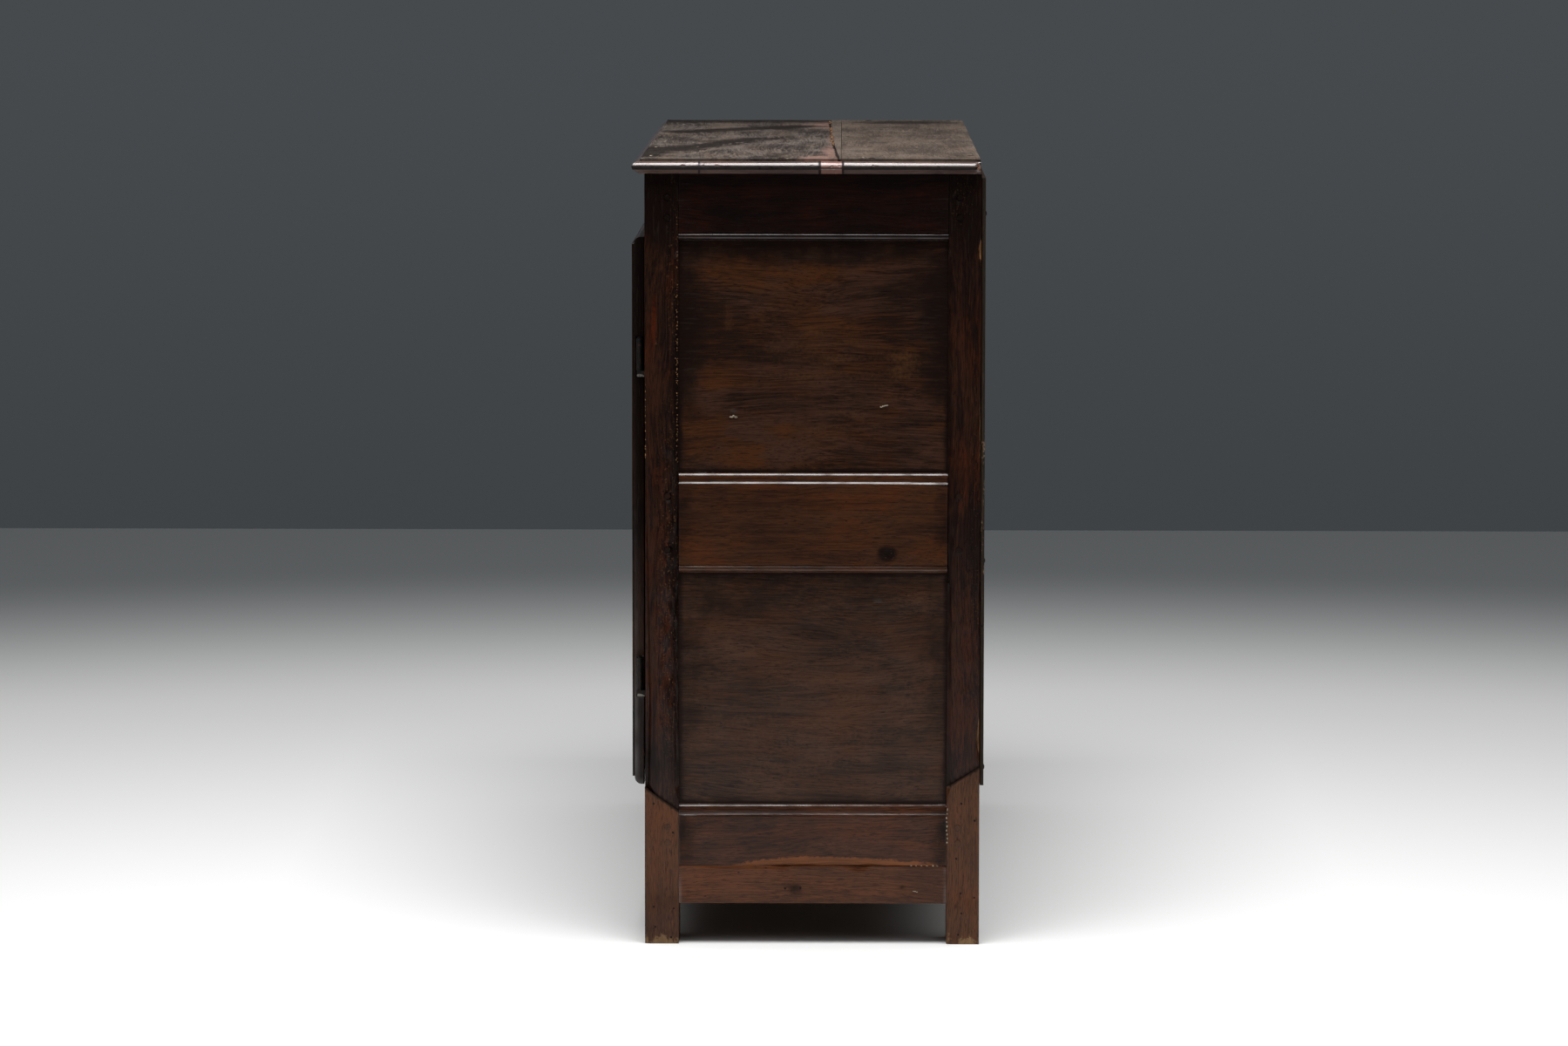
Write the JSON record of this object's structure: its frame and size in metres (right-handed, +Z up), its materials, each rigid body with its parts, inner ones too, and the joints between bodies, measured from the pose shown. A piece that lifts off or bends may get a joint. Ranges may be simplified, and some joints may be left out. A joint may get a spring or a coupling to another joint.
{
  "type": "buffet cabinet",
  "caption": "Low joined oak cupboard with panelled ends, two framed doors on iron pintle hinges, rim locks, a shelf and an overhanging moulded top.",
  "frame": {"origin": "on the floor, at the middle of the length and of the whole depth, doors and key included", "axes": "+X along the length to the right of someone who faces the doors, +Y from the doors to the back, +Z up"},
  "size_m": [1.2246, 0.4617, 0.98],
  "materials": {
    "frame_wood": "old dark wax polish, red-brown, worn at the arrises",
    "panel_wood": "old dark wax polish, brown, horizontal grain",
    "door_wood": "old dark wax polish, nearly black at the edges",
    "new_wood": "newer wood stained a lighter brown",
    "old_top_front": "dark, dry, streaked old board",
    "old_top_rear": "grey-brown, dry old board",
    "nosing_wood": "polished moulding with a dull sheen",
    "inside_wood": "unpolished, oxidised brown",
    "peg_wood": "end grain of riven pegs, dark",
    "old_iron": "hand-forged iron, dark brown patina"
  },
  "bodies": {
    "case": {"back_boards": "inside_wood", "back_nails": "old_iron", "back_rails": "inside_wood", "base_strips": "new_wood", "board_bearers": "inside_wood", "case_pegs": "peg_wood", "end_bottom_rail_left": "frame_wood", "end_bottom_rail_right": "frame_wood", "end_lower_panel_left": "panel_wood", "end_lower_panel_right": "panel_wood", "end_middle_rail_left": "frame_wood", "end_middle_rail_right": "frame_wood", "end_top_rail_left": "frame_wood", "end_top_rail_right": "frame_wood", "end_upper_panel_left": "panel_wood", "end_upper_panel_right": "panel_wood", "floor_boards": "inside_wood", "front_bottom_rail": "frame_wood", "front_foot_left": "new_wood", "front_foot_right": "new_wood", "front_muntin": "frame_wood", "front_post_left": "frame_wood", "front_post_right": "frame_wood", "front_top_rail": "frame_wood", "pintles": "old_iron", "rear_foot_left": "new_wood", "rear_foot_right": "new_wood", "rear_post_left": "frame_wood", "rear_post_right": "frame_wood", "shelf_boards": "inside_wood", "top_board_front": "old_top_front", "top_board_rear": "old_top_rear", "top_nosing_front": "nosing_wood", "top_nosing_left": "nosing_wood", "top_nosing_right": "nosing_wood"},
    "door_right": {"door_right_bottom_rail": "door_wood", "door_right_escutcheon": "old_iron", "door_right_hinge_stile": "door_wood", "door_right_knuckles": "old_iron", "door_right_lock_case": "old_iron", "door_right_lock_stile": "door_wood", "door_right_lower_panel": "door_wood", "door_right_middle_rail": "door_wood", "door_right_pegs": "peg_wood", "door_right_top_rail": "door_wood", "door_right_upper_panel": "door_wood"},
    "door_left": {"door_left_bottom_rail": "door_wood", "door_left_escutcheon": "old_iron", "door_left_hinge_stile": "door_wood", "door_left_knuckles": "old_iron", "door_left_lock_case": "old_iron", "door_left_lock_stile": "door_wood", "door_left_lower_panel": "door_wood", "door_left_middle_rail": "door_wood", "door_left_pegs": "peg_wood", "door_left_top_rail": "door_wood", "door_left_upper_panel": "door_wood"},
    "bolt_right": {"bolt_right": "old_iron"},
    "bolt_left": {"bolt_left": "old_iron"},
    "key": {"key": "old_iron"}
  },
  "joints": [
    {"name": "door_right_swing", "type": "hinge", "parent": "case", "child": "door_right", "pos_m": [0.555, -0.199, 0.51], "axis": [0, 0, 1], "range_deg": [0, 160]},
    {"name": "door_left_swing", "type": "hinge", "parent": "case", "child": "door_left", "pos_m": [-0.555, -0.199, 0.51], "axis": [0, 0, -1], "range_deg": [0, 160]},
    {"name": "bolt_right_slide", "type": "slide", "parent": "door_right", "child": "bolt_right", "axis": [-1, 0, 0], "range_m": [0, 0.013]},
    {"name": "key_turn", "type": "hinge", "parent": "door_left", "child": "key", "pos_m": [-0.073, -0.209, 0.61], "axis": [0, 1, 0], "range_deg": [0, 360]},
    {"name": "bolt_left_slide", "type": "slide", "parent": "door_left", "child": "bolt_left", "axis": [1, 0, 0], "range_m": [0, 0.013]}
  ],
  "couplings": [
    {"joint": "bolt_left_slide", "follows": "key_turn", "m_per_rad": 0.002069}
  ]
}
